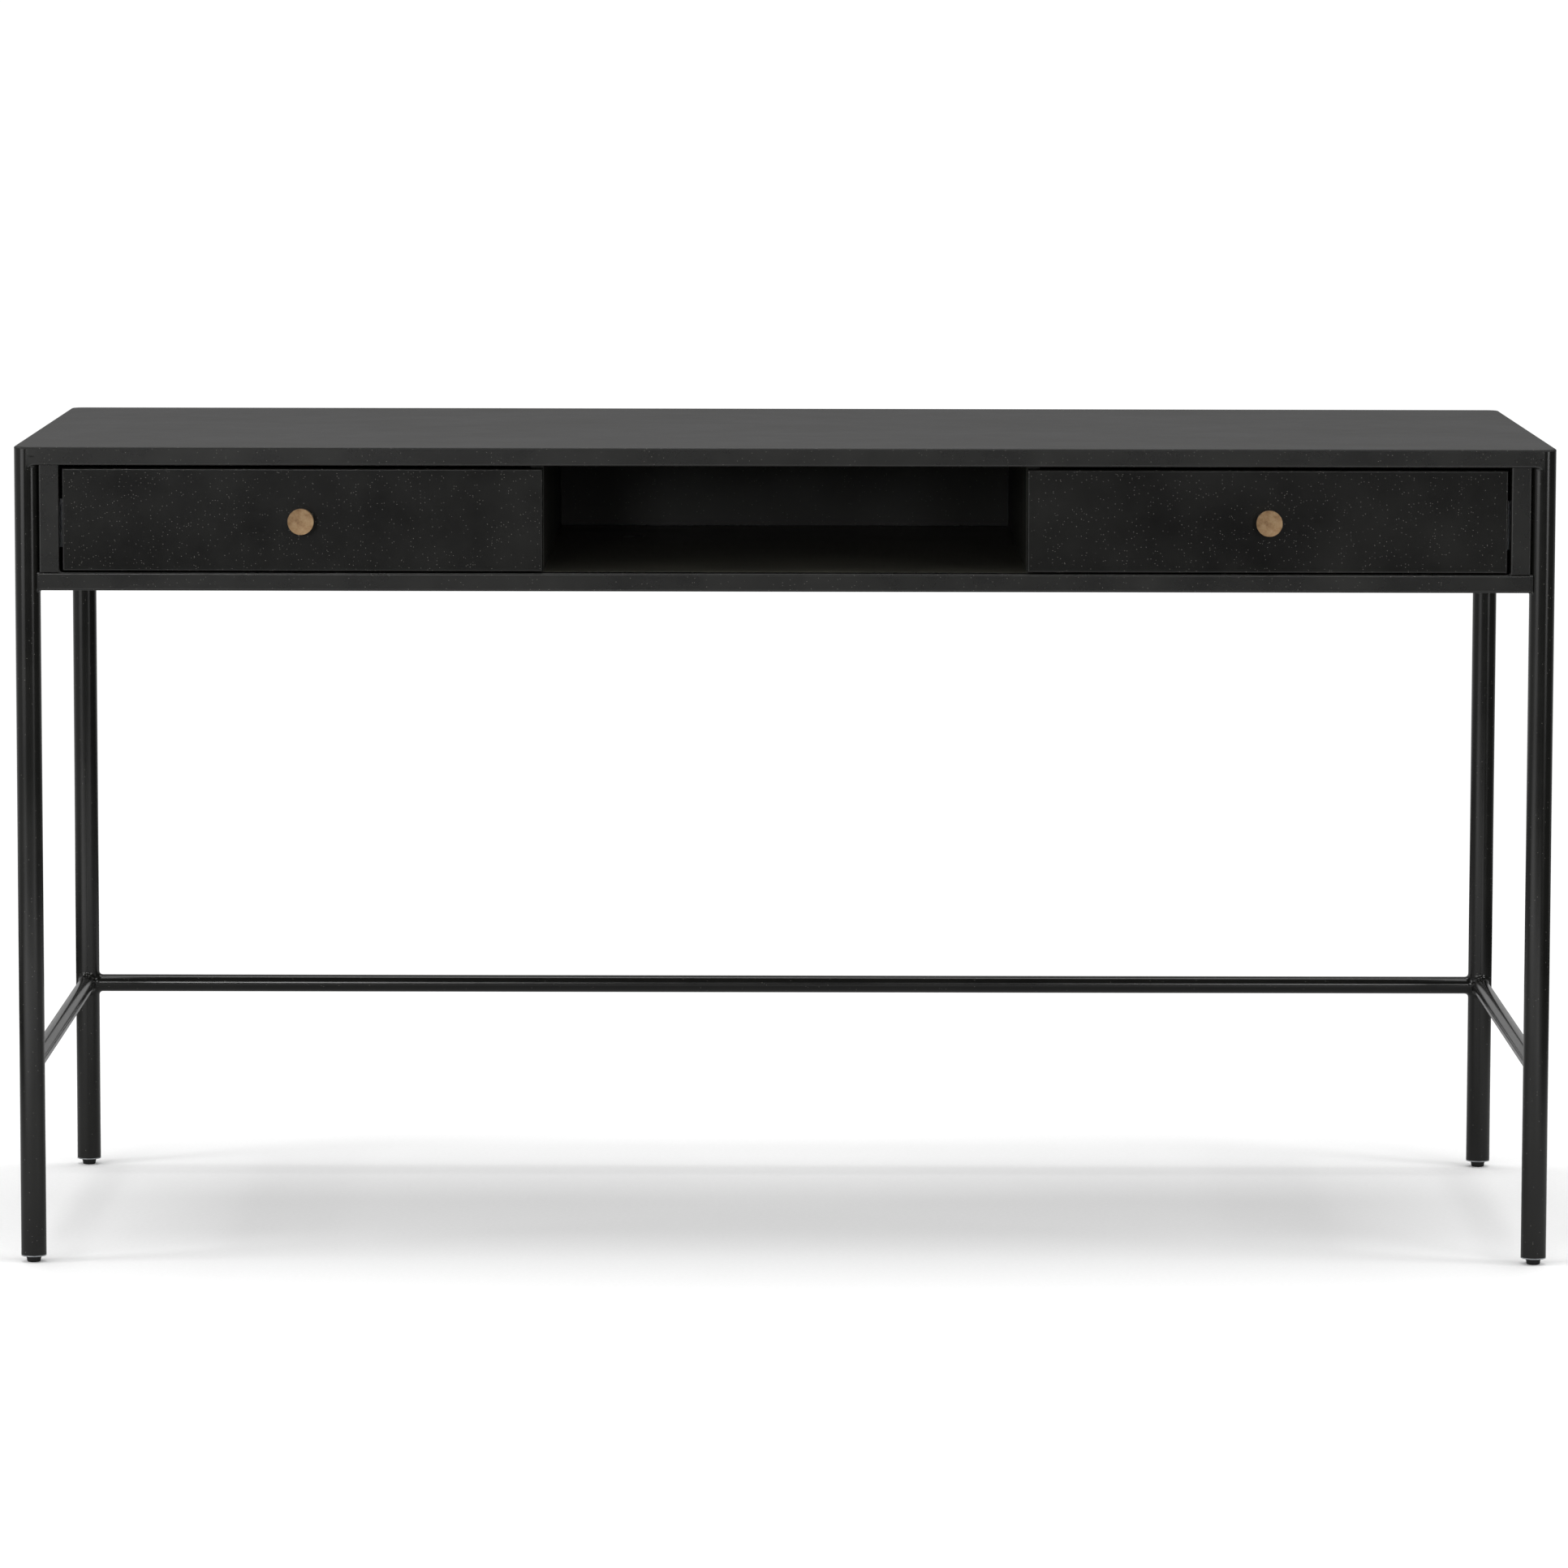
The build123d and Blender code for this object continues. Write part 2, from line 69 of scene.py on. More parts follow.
bpy.ops.object.camera_add()
camera = bpy.context.object
camera.name = "camera"
turn = (Matrix.Rotation(-CAMERA_YAW, 4, "Z") @ Matrix.Rotation(math.pi / 2 - CAMERA_PITCH, 4, "X")
        @ Matrix.Rotation(CAMERA_ROLL, 4, "Z"))
camera.matrix_world = Matrix.Translation(CAMERA_PLACE) @ turn
camera.data.lens = LENS_MM
camera.data.sensor_width = SENSOR_MM
camera.data.shift_y = LENS_SHIFT
camera.data.clip_end = CLIP_END
bpy.context.scene.camera = camera

# %% [markdown]
# ## Colours and nodes
# Paint colours are picked as sRGB hex values, as a maker would note them from a sample, and turned
# to the linear values that Blender's shaders use. One small helper adds a node, fills in its
# settings and joins its inputs, so that each material below reads like a recipe.


# %% Two helpers for materials
def linear(hex_colour):
    parts = [int(hex_colour[i:i + 2], 16) / 255 for i in (1, 3, 5)]
    curve = [p / 12.92 if p <= 0.04045 else ((p + 0.055) / 1.055) ** 2.4 for p in parts]
    return (*curve, 1.0)


def node(tree, kind, settings=None, **inputs):
    """Adds a node. An input is a value, or a socket of an earlier node to link from."""
    new = tree.nodes.new(kind)
    for key, value in (settings or {}).items():
        setattr(new, key, value)
    for key, value in inputs.items():
        socket = new.inputs[int(key[1:])] if key[1:].isdigit() else new.inputs[key.replace("_", " ")]
        if isinstance(value, bpy.types.NodeSocket):
            tree.links.new(value, socket)
        else:
            socket.default_value = value
    return new


def new_material(name):
    material = bpy.data.materials.new(name)
    material.use_nodes = True
    tree = material.node_tree
    tree.nodes.clear()
    place = node(tree, "ShaderNodeTexCoord").outputs["Object"]
    return material, tree, place


def ramp(tree, factor, *stops):
    """Colour ramp with stops of (position, hex colour)."""
    made = node(tree, "ShaderNodeValToRGB", Fac=factor)
    bands = made.color_ramp.elements
    while len(bands) < len(stops):
        bands.new(0.5)
    for band, (position, colour) in zip(bands, stops):
        band.position = position
        band.color = linear(colour)
    return made.outputs["Color"]


def spread(tree, factor, low, high):
    """Takes a pattern from 0 to 1 to values from low to high."""
    return node(tree, "ShaderNodeMapRange", Value=factor, To_Min=low, To_Max=high).outputs["Result"]


def finish_material(tree, shader):
    node(tree, "ShaderNodeOutputMaterial", Surface=shader.outputs["BSDF"])


# %% [markdown]
# ## The black paint
# The frame is mild steel under a baked black powder coat. Powder flows as it bakes, and leaves an
# orange peel a few millimetres from crest to crest, drawn here as a low bump. Handling and hand
# rubbing leave clouds that are a hand's breadth across, in tone and in gloss, and dust in the powder
# leaves pale flecks half a millimetre wide. One recipe makes every black finish: the top is the most
# matt, the sheet drawer fronts show the most flecks, and the drawn tubes are the glossiest. The back
# and the partitions inside are painted lighter, and the floor inside much lighter, as painted fill
# light in the shaded space behind the drawers.

# %% Powder coat
PEEL = 2.6 * MM           # crest to crest
PEEL_DEPTH = 0.007 * MM   # a deeper one breaks reflections on the drawer fronts into worms
PEEL_STRENGTH = 0.5
CLOUD = 90 * MM
FLECK_SPACING = 2.2 * MM
FLECK_SIZE = 0.14         # radius, as a share of the spacing
FLECK_COLOUR = "#6e6c68"
DENT = 160 * MM           # hand-made waves in the sheet
DENT_DEPTH = 0.25 * MM


def powder_coat(name, dark, light, roughness, gloss, specular, flecks, waves):
    material, tree, place = new_material(name)
    cloud = node(tree, "ShaderNodeTexNoise", Vector=place, Scale=1 / CLOUD, Detail=5.0,
                 Roughness=0.62).outputs["Fac"]
    tone = ramp(tree, cloud, (0.33, dark), (0.68, light))
    speck = node(tree, "ShaderNodeTexVoronoi", Vector=place, Scale=1 / FLECK_SPACING)
    rare = node(tree, "ShaderNodeSeparateColor", Color=speck.outputs["Color"]).outputs["Red"]
    dot = node(tree, "ShaderNodeMath", {"operation": "LESS_THAN"}, _0=speck.outputs["Distance"],
               _1=FLECK_SIZE).outputs[0]
    kept = node(tree, "ShaderNodeMath", {"operation": "LESS_THAN"}, _0=rare, _1=flecks).outputs[0]
    fleck = node(tree, "ShaderNodeMath", {"operation": "MULTIPLY"}, _0=dot, _1=kept).outputs[0]
    colour = node(tree, "ShaderNodeMix", {"data_type": "RGBA"}, _0=fleck, _6=tone,
                  _7=linear(FLECK_COLOUR)).outputs[2]
    peel = node(tree, "ShaderNodeTexNoise", Vector=place, Scale=1 / PEEL, Detail=1.0).outputs["Fac"]
    dents = node(tree, "ShaderNodeTexNoise", Vector=place, Scale=1 / DENT, Detail=1.0).outputs["Fac"]
    wavy = node(tree, "ShaderNodeBump", Strength=waves, Distance=DENT_DEPTH, Height=dents)
    bumpy = node(tree, "ShaderNodeBump", Strength=PEEL_STRENGTH, Distance=PEEL_DEPTH, Height=peel,
                 Normal=wavy.outputs["Normal"])
    shader = node(tree, "ShaderNodeBsdfPrincipled", Base_Color=colour,
                  Roughness=spread(tree, cloud, roughness - 0.06, roughness + 0.08),
                  Specular_IOR_Level=specular, IOR=1.5, Coat_Weight=gloss, Coat_Roughness=0.16,
                  Normal=bumpy.outputs["Normal"])
    finish_material(tree, shader)
    return material


tube_black = powder_coat("semi_gloss_black_powder_coat_tube", "#10100f", "#161614",
                         roughness=0.17, gloss=0.0, specular=0.5, flecks=0.1, waves=0.1)
case_black = powder_coat("satin_black_powder_coat_case", "#141413", "#1d1d1b",
                         roughness=0.27, gloss=0.1, specular=0.5, flecks=0.2, waves=0.3)
front_black = powder_coat("hand_rubbed_black_powder_coat_fronts", "#0b0b0a", "#161614",
                          roughness=0.22, gloss=0.0, specular=0.42, flecks=0.45, waves=0.5)
top_black = powder_coat("matt_black_powder_coat_top", "#151514", "#1b1b19",
                        roughness=0.5, gloss=0.0, specular=0.4, flecks=0.25, waves=0.3)
# Painted fill light: the inside paint is lighter than the case paint, so that the shaded space behind
# the drawers reads less dark.
inside_black = powder_coat("black_powder_coat_inside_lightened_as_painted_fill", "#1f1f1b", "#292925",
                           roughness=0.45, gloss=0.0, specular=0.35, flecks=0.2, waves=0.3)
# Painted fill light: the floor inside is much lighter than the rest of the paint, to lift the deep
# shade on the floor of the open space.
floor_black = powder_coat("black_powder_coat_floor_lightened_as_painted_fill", "#43423b", "#504f47",
                          roughness=0.3, gloss=0.0, specular=0.5, flecks=0.2, waves=0.3)

# %% [markdown]
# ## The brass
# The knobs are turned brass, left to brown and waxed: the tool leaves fine rings on the face, and the
# patina is blotchy. The rings are a wave pattern round the knob's own axis, so each knob gets a
# material that is centred on it.

# %% Aged brass
RING_PITCH = 0.5 * MM     # coarser than a real tool mark, so that it can be seen
RING_DEPTH = 0.02 * MM
BLOTCH = 5 * MM


def aged_brass(name, centre):
    material, tree, place = new_material(name)
    centred = node(tree, "ShaderNodeMapping", Vector=place, Location=-centre).outputs["Vector"]
    blotch = node(tree, "ShaderNodeTexNoise", Vector=centred, Scale=1 / BLOTCH, Detail=6.0,
                  Roughness=0.6).outputs["Fac"]
    colour = ramp(tree, blotch, (0.3, "#86694f"), (0.5, "#9f8363"), (0.72, "#b29978"))
    rings = node(tree, "ShaderNodeTexWave", {"wave_type": "RINGS", "rings_direction": "Y"},
                 Vector=centred, Scale=0.1 / RING_PITCH, Distortion=0.4).outputs["Fac"]
    turned = node(tree, "ShaderNodeBump", Strength=0.25, Distance=RING_DEPTH, Height=rings)
    shader = node(tree, "ShaderNodeBsdfPrincipled", Base_Color=colour, Metallic=1.0,
                  Roughness=spread(tree, blotch, 0.36, 0.6), Normal=turned.outputs["Normal"])
    finish_material(tree, shader)
    return material


# %% [markdown]
# ## The zinc
# The slides are rolled steel with bright zinc, which shows faint streaks along the strip. A noise
# pattern that is stretched along the desk's depth gives them, in tone, gloss and a trace of relief.

# %% Zinc-plated steel
STREAKS = (900, 9, 900)   # a hundred times longer along the slide than across it
STREAK_DEPTH = 0.01 * MM


def zinc_plated_steel():
    material, tree, place = new_material("bright_zinc_plated_rolled_steel")
    strip = node(tree, "ShaderNodeMapping", Vector=place, Scale=STREAKS).outputs["Vector"]
    streak = node(tree, "ShaderNodeTexNoise", Vector=strip, Scale=1.0, Detail=3.0).outputs["Fac"]
    colour = ramp(tree, streak, (0.3, "#a9adb1"), (0.7, "#c9ccce"))
    scratched = node(tree, "ShaderNodeBump", Strength=0.2, Distance=STREAK_DEPTH, Height=streak)
    shader = node(tree, "ShaderNodeBsdfPrincipled", Base_Color=colour, Metallic=1.0,
                  Roughness=spread(tree, streak, 0.24, 0.42), Normal=scratched.outputs["Normal"])
    finish_material(tree, shader)
    return material


# %% [markdown]
# ## The mouldings
# The feet are moulded black nylon, and the drawer bumpers are soft rubber. Both take the fine grain
# of a spark-eroded mould, so one recipe serves them.

# %% Nylon and rubber
GRAIN_DEPTH = 0.02 * MM


def moulded(name, dark, light, roughness, grain):
    """Moulded black polymer with a fine spark-eroded grain."""
    material, tree, place = new_material(name)
    pattern = node(tree, "ShaderNodeTexNoise", Vector=place, Scale=1 / grain, Detail=3.0).outputs["Fac"]
    colour = ramp(tree, pattern, (0.35, dark), (0.65, light))
    rough = node(tree, "ShaderNodeBump", Strength=0.4, Distance=GRAIN_DEPTH, Height=pattern)
    shader = node(tree, "ShaderNodeBsdfPrincipled", Base_Color=colour,
                  Roughness=spread(tree, pattern, roughness - 0.05, roughness + 0.05),
                  Normal=rough.outputs["Normal"])
    finish_material(tree, shader)
    return material


zinc = zinc_plated_steel()
nylon = moulded("black_moulded_nylon", "#0c0c0c", "#151515", roughness=0.45, grain=0.4 * MM)
rubber = moulded("soft_black_rubber", "#121212", "#1c1c1c", roughness=0.8, grain=0.6 * MM)

# %% [markdown]
# ## Painting the engineering model
# Each part keeps its shape and only gets a finish. Names tell what a part is, so the first word that
# matches picks the paint.

# %% Give each part its finish
FINISHES = (
    (("top_panel",), top_black),
    (("drawer_front",), front_black),
    (("back_panel", "divider"), inside_black),
    (("floor_panel",), floor_black),
    (("leg_", "stretcher"), tube_black),
    (("slides_", "slide_screws", "drawer_screws", "knob_screw", "foot_inserts"), zinc),
    (("levelling_foot",), nylon),
    (("bumpers",), rubber),
)


def finish_for(name):
    for starts, material in FINISHES:
        if name.startswith(starts):
            return material
    return case_black


for name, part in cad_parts.items():
    part.data.materials.clear()
    part.data.materials.append(finish_for(name))
print("finished", len(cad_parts), "parts")

# %% [markdown]
# ## Modelling helpers
# The new pieces are modelled as by hand: add a primitive, go into edit mode, pick faces, extrude and
# inset them. These helpers only keep the selection tidy, because an operator acts on all that is
# selected, and move a finished piece's place into its mesh.


# %% Modelling helpers
def only(piece):
    """Leaves one object selected and active."""
    bpy.ops.object.select_all(action="DESELECT")
    piece.select_set(True)
    bpy.context.view_layer.objects.active = piece


def pick_faces(piece, wanted):
    """Selects the faces for which wanted(centre, normal) is true, and stays in edit mode."""
    if bpy.context.mode == "EDIT_MESH":
        bpy.ops.object.mode_set(mode="OBJECT")
    mesh = piece.data
    for group in (mesh.vertices, mesh.edges):
        group.foreach_set("select", [False] * len(group))
    for face in mesh.polygons:
        face.select = wanted(face.center, face.normal)
    bpy.ops.object.mode_set(mode="EDIT")


def settle(piece, smooth_degrees=35):
    """Ends the modelling: place into the mesh, normals outwards, soft edges smooth."""
    if bpy.context.mode == "EDIT_MESH":
        bpy.ops.object.mode_set(mode="OBJECT")
    only(piece)
    bpy.ops.object.transform_apply(location=True, rotation=True, scale=True)
    bpy.ops.object.mode_set(mode="EDIT")
    bpy.ops.mesh.select_all(action="SELECT")
    bpy.ops.mesh.normals_make_consistent(inside=False)
    bpy.ops.object.mode_set(mode="OBJECT")
    bpy.ops.object.shade_smooth_by_angle(angle=math.radians(smooth_degrees))
    return piece


def bevel(piece, width, segments=2):
    made = piece.modifiers.new("bevel", "BEVEL")
    made.width = width
    made.segments = segments
    made.limit_method = "ANGLE"
    made.angle_limit = math.radians(30)
    only(piece)
    bpy.ops.object.modifier_apply(modifier=made.name)


def dress(piece, name, material, body):
    """Names a piece, paints it and fixes it to the body it moves with."""
    piece.name = name
    piece.data.name = name
    piece.data.materials.clear()
    piece.data.materials.append(material)
    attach(piece, body)
    return piece


def copied(piece, move):
    """A copy with its own mesh, its place moved in the mesh."""
    only(piece)
    bpy.ops.object.duplicate()
    copy = bpy.context.object
    copy.location = move
    bpy.ops.object.transform_apply(location=True, rotation=True, scale=True)
    return copy


def joined(pieces):
    only(pieces[0])
    for piece in pieces[1:]:
        piece.select_set(True)
    if len(pieces) > 1:
        bpy.ops.object.join()
    return bpy.context.object


# %% [markdown]
# ## Weld seams
# Where a bar meets a leg, the welder runs a bead round the joint and dresses it to a small hollow
# fillet that the paint flows over. Its line is where a round or square bar meets a round leg, a
# saddle. A torus has the right build for it, a ring of rings, so the fillet starts as one and each
# of its points is moved to its place: round the bar, and across the hollow from bar to leg.

# %% Weld fillets
WELD_ROUND = 64
WELD_SECTION = 10
HIDDEN = 0.4 * MM         # how far the fillet's back lies inside the metal
ROUND_POWER = 2           # a circle
SQUARE_POWER = 12         # a square with eased corners


def box_of(name):
    low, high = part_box(name)
    return (low + high) / 2, high - low


def outline(angle, width, height, square):
    """Point and outward direction on a bar's section: round, or square with eased corners."""
    power = 2 / (SQUARE_POWER if square else ROUND_POWER)
    c, s = math.cos(angle), math.sin(angle)
    u = width / 2 * math.copysign(abs(c) ** power, c)
    v = height / 2 * math.copysign(abs(s) ** power, s)
    sharp = 2 / power - 1
    nu = math.copysign(abs(2 * u / width) ** sharp, c) / width
    nv = math.copysign(abs(2 * v / height) ** sharp, s) / height
    length = math.hypot(nu, nv)
    return u, v, nu / length, nv / length


def weld_section(t, size, bar, leg_radius):
    """One closed cross-section of the fillet, as (along the bar, across it, up) points."""
    u, v, nu, nv = outline(t, bar["width"], bar["height"], bar["square"])
    size *= bar["size_at"](nu, nv)
    across = bar["offset"] + u

    def reach(lateral):
        return math.sqrt(max(leg_radius ** 2 - lateral ** 2, 0))

    root = Vector((reach(across), across, v))
    on_bar = Vector((max(root.x, bar["starts"]) + size, across, v))
    foot = across + nu * size
    foot = max(-leg_radius, min(leg_radius, foot))
    on_leg = Vector((reach(foot), foot, v + nv * size))
    hollow = WELD_SECTION - 3
    points = []
    for i in range(hollow):
        f = i / (hollow - 1)
        points.append(on_bar * (1 - f) ** 2 + root * 2 * f * (1 - f) + on_leg * f ** 2)
    outwards = Vector((0, nu, nv))
    to_axis = Vector((-on_leg.x, -on_leg.y, 0)).normalized()
    points.append(on_leg + to_axis * HIDDEN)
    points.append(root - outwards * HIDDEN - Vector((HIDDEN, 0, 0)))
    points.append(on_bar - outwards * HIDDEN)
    return points


def weld_fillet(place, along, bar, leg_radius, size):
    """A fillet round the end of a bar, on a leg whose axis passes through place."""
    bpy.ops.mesh.primitive_torus_add(major_segments=WELD_ROUND, minor_segments=WELD_SECTION,
                                     major_radius=1.0, minor_radius=0.25, location=(0, 0, 0))
    piece = bpy.context.object
    across = Vector((0, 0, 1)).cross(along)
    for vertex in piece.data.vertices:
        x, y, z = vertex.co
        t = math.atan2(y, x)
        step = math.atan2(z, math.hypot(x, y) - 1.0) / (2 * math.pi / WELD_SECTION)
        s, w, up = weld_section(t, size, bar, leg_radius)[round(step) % WELD_SECTION]
        vertex.co = place + along * s + across * w + Vector((0, 0, up))
    return settle(piece, smooth_degrees=50)


# %% [markdown]
# The stretchers are welded all round. On the rails under the top, the seam is filled and ground wide
# on the outer face, so that the rail flows into the leg, and it stops under the top sheet. The bottom
# rails stand beside the legs with an open groove between, and only have a bead underneath.

# %% Weld every bar to its legs
CORNERS = ("front_left", "front_right", "rear_left", "rear_right")
LEG_RADIUS = box_of("leg_front_left")[1].x / 2
STRETCHER_WELD = 4.0 * MM
RAIL_WELD = 2.5 * MM
FLUSH = 0.04              # share of the fillet left where it was ground away
OUTER_BLEND = 3.2         # how much wider the ground blend on the outer face is
TOP_FADE = 1.3            # how soon the fillet runs out towards the top sheet
BEAD_LENGTH = 13 * MM


def all_round(nu, nv):
    return 1.0


def dressed(outer_side):
    """Fillet size for a top rail: wide on the outer face, gone under the top sheet."""
    def size_at(nu, nv):
        wide = 1.0 + (OUTER_BLEND - 1.0) * max(nu * outer_side, 0.0)
        return max(FLUSH, wide * (1.0 - max(nv, 0.0) * TOP_FADE))
    return size_at


def underneath(nu, nv):
    """Fillet size for a bottom rail: a bead on its underside, and nothing elsewhere."""
    return max(FLUSH, -nv)


def weld_ends(bar_name, weld_size):
    centre, size = box_of(bar_name)
    runs = Vector((1, 0, 0)) if size.x > size.y else Vector((0, 1, 0))
    square = not bar_name.startswith("stretcher")
    fillets = []
    for corner in CORNERS:
        leg, _ = box_of(f"leg_{corner}")
        apart = centre - leg
        sideways = apart - runs * apart.dot(runs)
        if math.hypot(sideways.x, sideways.y) > 2 * LEG_RADIUS:
            continue
        along = runs * math.copysign(1, apart.dot(runs))
        across = Vector((0, 0, 1)).cross(along)
        outer_side = math.copysign(1, leg.dot(across))
        bar = {"width": size.y if runs.x else size.x, "height": size.z, "square": square,
               "offset": sideways.dot(across), "starts": 0.0, "size_at": all_round}
        if bar_name.startswith("rail_top"):
            bar["size_at"] = dressed(outer_side)
        if bar_name.startswith("rail_bottom"):
            bar["size_at"] = underneath
            bar["width"] = BEAD_LENGTH
            bar["starts"] = abs(apart.dot(runs)) - (size.x if runs.x else size.y) / 2
        place = Vector((leg.x, leg.y, centre.z))
        fillets.append(weld_fillet(place, along, bar, LEG_RADIUS, weld_size))
    return joined(fillets)


for bar in [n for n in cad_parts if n.startswith(("stretcher_", "rail_"))]:
    round_bar = bar.startswith("stretcher")
    seam = weld_ends(bar, STRETCHER_WELD if round_bar else RAIL_WELD)
    dress(seam, f"weld_{bar}", tube_black if round_bar else case_black, "desk_frame")
    print("welded", bar)

# %% [markdown]
# Each drawer opening also has a seam in its lower outer corner, where the stile stands on the bottom
# rail. It starts as a small square bar in the corner, and a bevel that curves inwards makes its
# free edge hollow. A hair of it lies inside the metal, so that no two faces share a plane.

# %% Seams in the drawer openings
CORNER_SEAM = 2.4 * MM
SEAM_CUT = 0.98           # share of the bar's edge that the bevel takes
HOLLOW_CURVE = 0.09       # bevel profile: 0.5 is round, 0.25 flat, and less is hollow
NEAR = 0.1 * MM


def corner_seam(side):
    stile_low, stile_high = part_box(f"stile_{side}")
    floor_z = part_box("rail_bottom_front")[1].z
    inwards = 1 if side == "left" else -1
    wall = stile_high.x if side == "left" else stile_low.x
    thick = CORNER_SEAM + HIDDEN
    long = stile_high.y - stile_low.y - 2 * HIDDEN
    bpy.ops.mesh.primitive_cube_add(size=1, location=(wall + inwards * (thick / 2 - HIDDEN),
                                                      (stile_low.y + stile_high.y) / 2,
                                                      floor_z + thick / 2 - HIDDEN))
    piece = bpy.context.object
    piece.scale = (thick, long, thick)
    only(piece)
    bpy.ops.object.transform_apply(location=True, rotation=True, scale=True)
    free = (wall + inwards * CORNER_SEAM, floor_z + CORNER_SEAM)
    pick_faces(piece, lambda at, normal: False)
    bpy.ops.object.mode_set(mode="OBJECT")
    points = piece.data.vertices
    for edge in piece.data.edges:
        ends = [points[i].co for i in edge.vertices]
        edge.select = all(abs(end.x - free[0]) + abs(end.z - free[1]) < NEAR for end in ends)
    bpy.ops.object.mode_set(mode="EDIT")
    bpy.ops.mesh.select_mode(type="EDGE")
    bpy.ops.mesh.bevel(offset=CORNER_SEAM * SEAM_CUT, segments=6, profile=HOLLOW_CURVE, affect="EDGES")
    bpy.ops.mesh.select_mode(type="FACE")
    return settle(piece)


seams = joined([corner_seam("left"), corner_seam("right")])
dress(seams, "opening_corner_seams", case_black, "desk_frame")
print("opening seams", len(seams.data.polygons), "faces")

# %% [markdown]
# ## Knobs
# Each knob is one turning: a disc with a thin raised lip, a stem that flares into the disc, and a small
# foot on the drawer. It starts as a cylinder the size of the disc. Its front face is inset and sunk to
# leave the lip, its back face is drawn in and extruded into the stem and the foot, and a small bevel
# breaks every edge, which is where brass catches the light. The left one is turned, and the right one
# is a copy in a brass of its own, so that the blotches differ.

# %% Turn the knobs
KNOB_SIDES = 96
LIP_WIDTH = 0.9 * MM
LIP_DEPTH = 0.22 * MM
DISC = 6.0 * MM
# Each step behind the disc, as its radius and length in millimetres.
FLARE_AND_STEM = ((7.0, 0.0), (5.4, 1.2), (4.4, 3.0), (4.2, 9.0), (4.3, 4.0))
FOOT_RADIUS = 6.2
FOOT_LENGTH = 1.4
EDGE_BREAK = 0.35 * MM


def turned_knob(centre, size):
    radius, length = size.x / 2, size.y
    face_y = centre.y - length / 2
    bpy.ops.mesh.primitive_cylinder_add(vertices=KNOB_SIDES, radius=radius, depth=DISC,
                                        location=(centre.x, face_y + DISC / 2, centre.z),
                                        rotation=(math.pi / 2, 0, 0))
    piece = bpy.context.object
    only(piece)
    bpy.ops.object.transform_apply(location=True, rotation=True, scale=True)

    pick_faces(piece, lambda at, normal: normal.y < -0.9)
    bpy.ops.mesh.inset(thickness=LIP_WIDTH, depth=0)
    bpy.ops.transform.translate(value=(0, LIP_DEPTH, 0))

    pick_faces(piece, lambda at, normal: normal.y > 0.9)
    stem = sum(forward for _, forward in FLARE_AND_STEM)
    to_foot = (length - DISC) / MM - stem - FOOT_LENGTH
    width = radius
    used = DISC
    for new_radius, forward in (*FLARE_AND_STEM, (FOOT_RADIUS, to_foot), (FOOT_RADIUS, FOOT_LENGTH)):
        bpy.ops.mesh.extrude_region_move(TRANSFORM_OT_translate={"value": (0, forward * MM, 0)})
        share = new_radius * MM / width
        used += forward * MM
        bpy.ops.transform.resize(value=(share, 1, share),
                                 center_override=(centre.x, face_y + used, centre.z))
        width = new_radius * MM
    bpy.ops.object.mode_set(mode="OBJECT")
    bevel(piece, EDGE_BREAK, segments=3)
    return settle(piece)


first_place, knob_size = box_of("knob_left")
first_knob = turned_knob(first_place, knob_size)
for side in ("left", "right"):
    centre, _ = box_of(f"knob_{side}")
    knob = first_knob if side == "left" else copied(first_knob, centre - first_place)
    brass = aged_brass(f"aged_turned_brass_{side}", centre)
    dress(knob, f"turned_knob_{side}", brass, f"drawer_{side}")
    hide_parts(f"knob_{side}")
    print("turned", knob.name, len(knob.data.polygons), "faces")

# %% [markdown]
# ## Levelling feet
# A foot is a nylon pad moulded on a threaded stud. The pad starts as a cylinder, its lower end is
# drawn in, and its top is inset and extruded into the stud. The thread is a stack of ridges, which
# only show when the foot is screwed out. One foot is made, and the other three are copies of it.

# %% Mould the feet
PITCH = 1.25 * MM
THREAD_DEPTH = 0.5 * MM
STUD = 3.95 * MM
PAD = 5.8 * MM
PAD_SIDES = 48
PAD_TAPER = 1.0 * MM
PAD_EDGE = 0.6 * MM


def levelling_foot(node_name):
    low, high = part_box(node_name)
    centre, radius = (low + high) / 2, (high.x - low.x) / 2
    bpy.ops.mesh.primitive_cylinder_add(vertices=PAD_SIDES, radius=radius, depth=PAD,
                                        location=(centre.x, centre.y, PAD / 2))
    piece = bpy.context.object
    only(piece)
    bpy.ops.object.transform_apply(location=True, rotation=True, scale=True)
    pick_faces(piece, lambda at, normal: normal.z < -0.9)
    share = (radius - PAD_TAPER) / radius
    bpy.ops.transform.resize(value=(share, share, 1), center_override=(centre.x, centre.y, 0))
    bpy.ops.object.mode_set(mode="OBJECT")
    bevel(piece, PAD_EDGE, segments=3)

    pick_faces(piece, lambda at, normal: normal.z > 0.9)
    bpy.ops.mesh.inset(thickness=radius - PAD_EDGE - STUD, depth=0)
    turns = int((high.z - PAD) / PITCH)
    width = STUD
    z = PAD
    for half in range(2 * turns):
        goal = STUD - THREAD_DEPTH if half % 2 == 0 else STUD
        z += PITCH / 2
        bpy.ops.mesh.extrude_region_move(TRANSFORM_OT_translate={"value": (0, 0, PITCH / 2)})
        bpy.ops.transform.resize(value=(goal / width, goal / width, 1),
                                 center_override=(centre.x, centre.y, z))
        width = goal
    return settle(piece)


first_foot = levelling_foot("levelling_foot_front_left")
for corner in CORNERS:
    foot = first_foot if corner == "front_left" else copied(
        first_foot, box_of(f"levelling_foot_{corner}")[0] - box_of("levelling_foot_front_left")[0])
    dress(foot, f"foot_pad_{corner}", nylon, f"foot_{corner}")
    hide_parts(f"levelling_foot_{corner}")
print("moulded", len(CORNERS), "feet")
